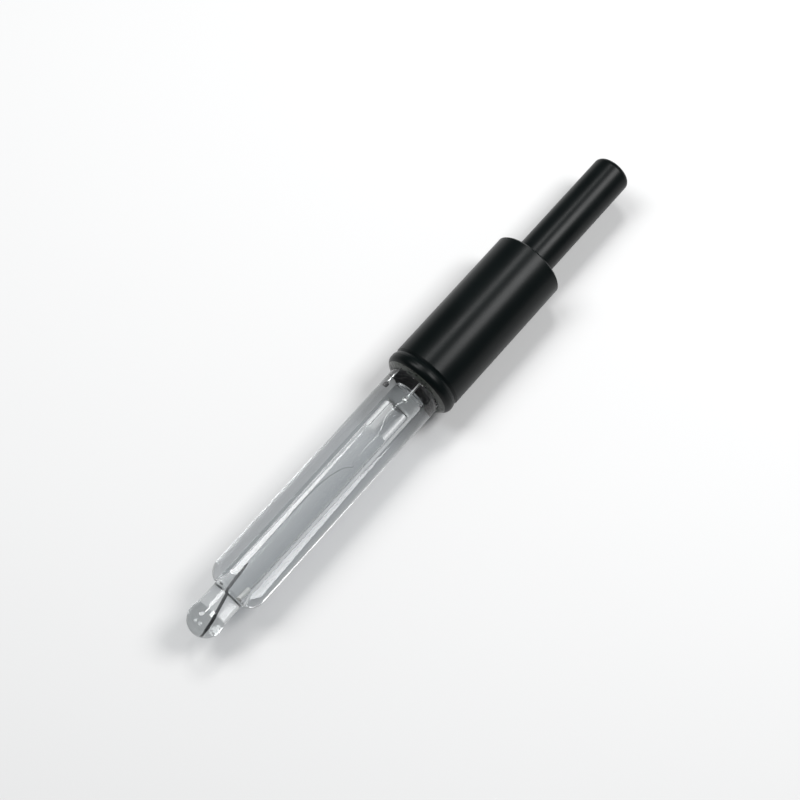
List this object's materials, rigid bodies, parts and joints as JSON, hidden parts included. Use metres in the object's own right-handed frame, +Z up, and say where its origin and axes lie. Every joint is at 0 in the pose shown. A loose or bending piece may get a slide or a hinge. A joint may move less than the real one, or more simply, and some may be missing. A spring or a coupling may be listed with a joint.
{
  "type": "ph electrode",
  "caption": "Combination pH electrode: clear glass shaft with an inner stem and a round sensing bulb, in a black cap with a slim cable sleeve.",
  "frame": {"origin": "centre of the cap's mouth, on the electrode's axis, where the glass shaft leaves the seal ring", "axes": "-X along the glass shaft to the sensing bulb, +X through the cap to the cable inlet, +Z up as the electrode lies"},
  "size_m": [0.1299, 0.016, 0.016],
  "materials": {
    "jacket_glass": "clear, fire polished",
    "stem_glass": "clear, fire polished",
    "membrane_glass": "clear, thin blown",
    "bead_glass": "clear, fused",
    "junction_ceramic": "matt, porous",
    "platinum": "bright drawn wire",
    "silver": "bright drawn wire",
    "silver_chloride": "matt, dark chloride coating",
    "buffer_liquid": "clear liquid",
    "gel_electrolyte": "clear gel",
    "stopper_rubber": "matt, dark",
    "seal_resin": "satin, slightly uneven",
    "cap_plastic": "satin, fine moulded texture",
    "potting_resin": "satin",
    "ferrule_brass": "tinned, satin",
    "insulator_ptfe": "satin, translucent white",
    "sleeve_rubber": "satin, smooth"
  },
  "bodies": {
    "root": {"outer_jacket": "jacket_glass", "inner_stem": "stem_glass", "glass_bulb": "membrane_glass", "seal_bead": "bead_glass", "ceramic_junction": "junction_ceramic", "platinum_lead": "platinum", "weld_bead": "silver", "silver_wire": "silver", "chlorided_wire": "silver_chloride", "reference_lead": "silver", "reference_element": "silver_chloride", "inner_buffer": "buffer_liquid", "reference_gel": "gel_electrolyte", "chamber_stopper": "stopper_rubber", "mouth_seal": "seal_resin", "cap": "cap_plastic", "potting": "potting_resin", "signal_ferrule": "ferrule_brass", "reference_ferrule": "ferrule_brass", "joint_insulator": "insulator_ptfe", "cable_sleeve": "sleeve_rubber"}
  },
  "joints": []
}
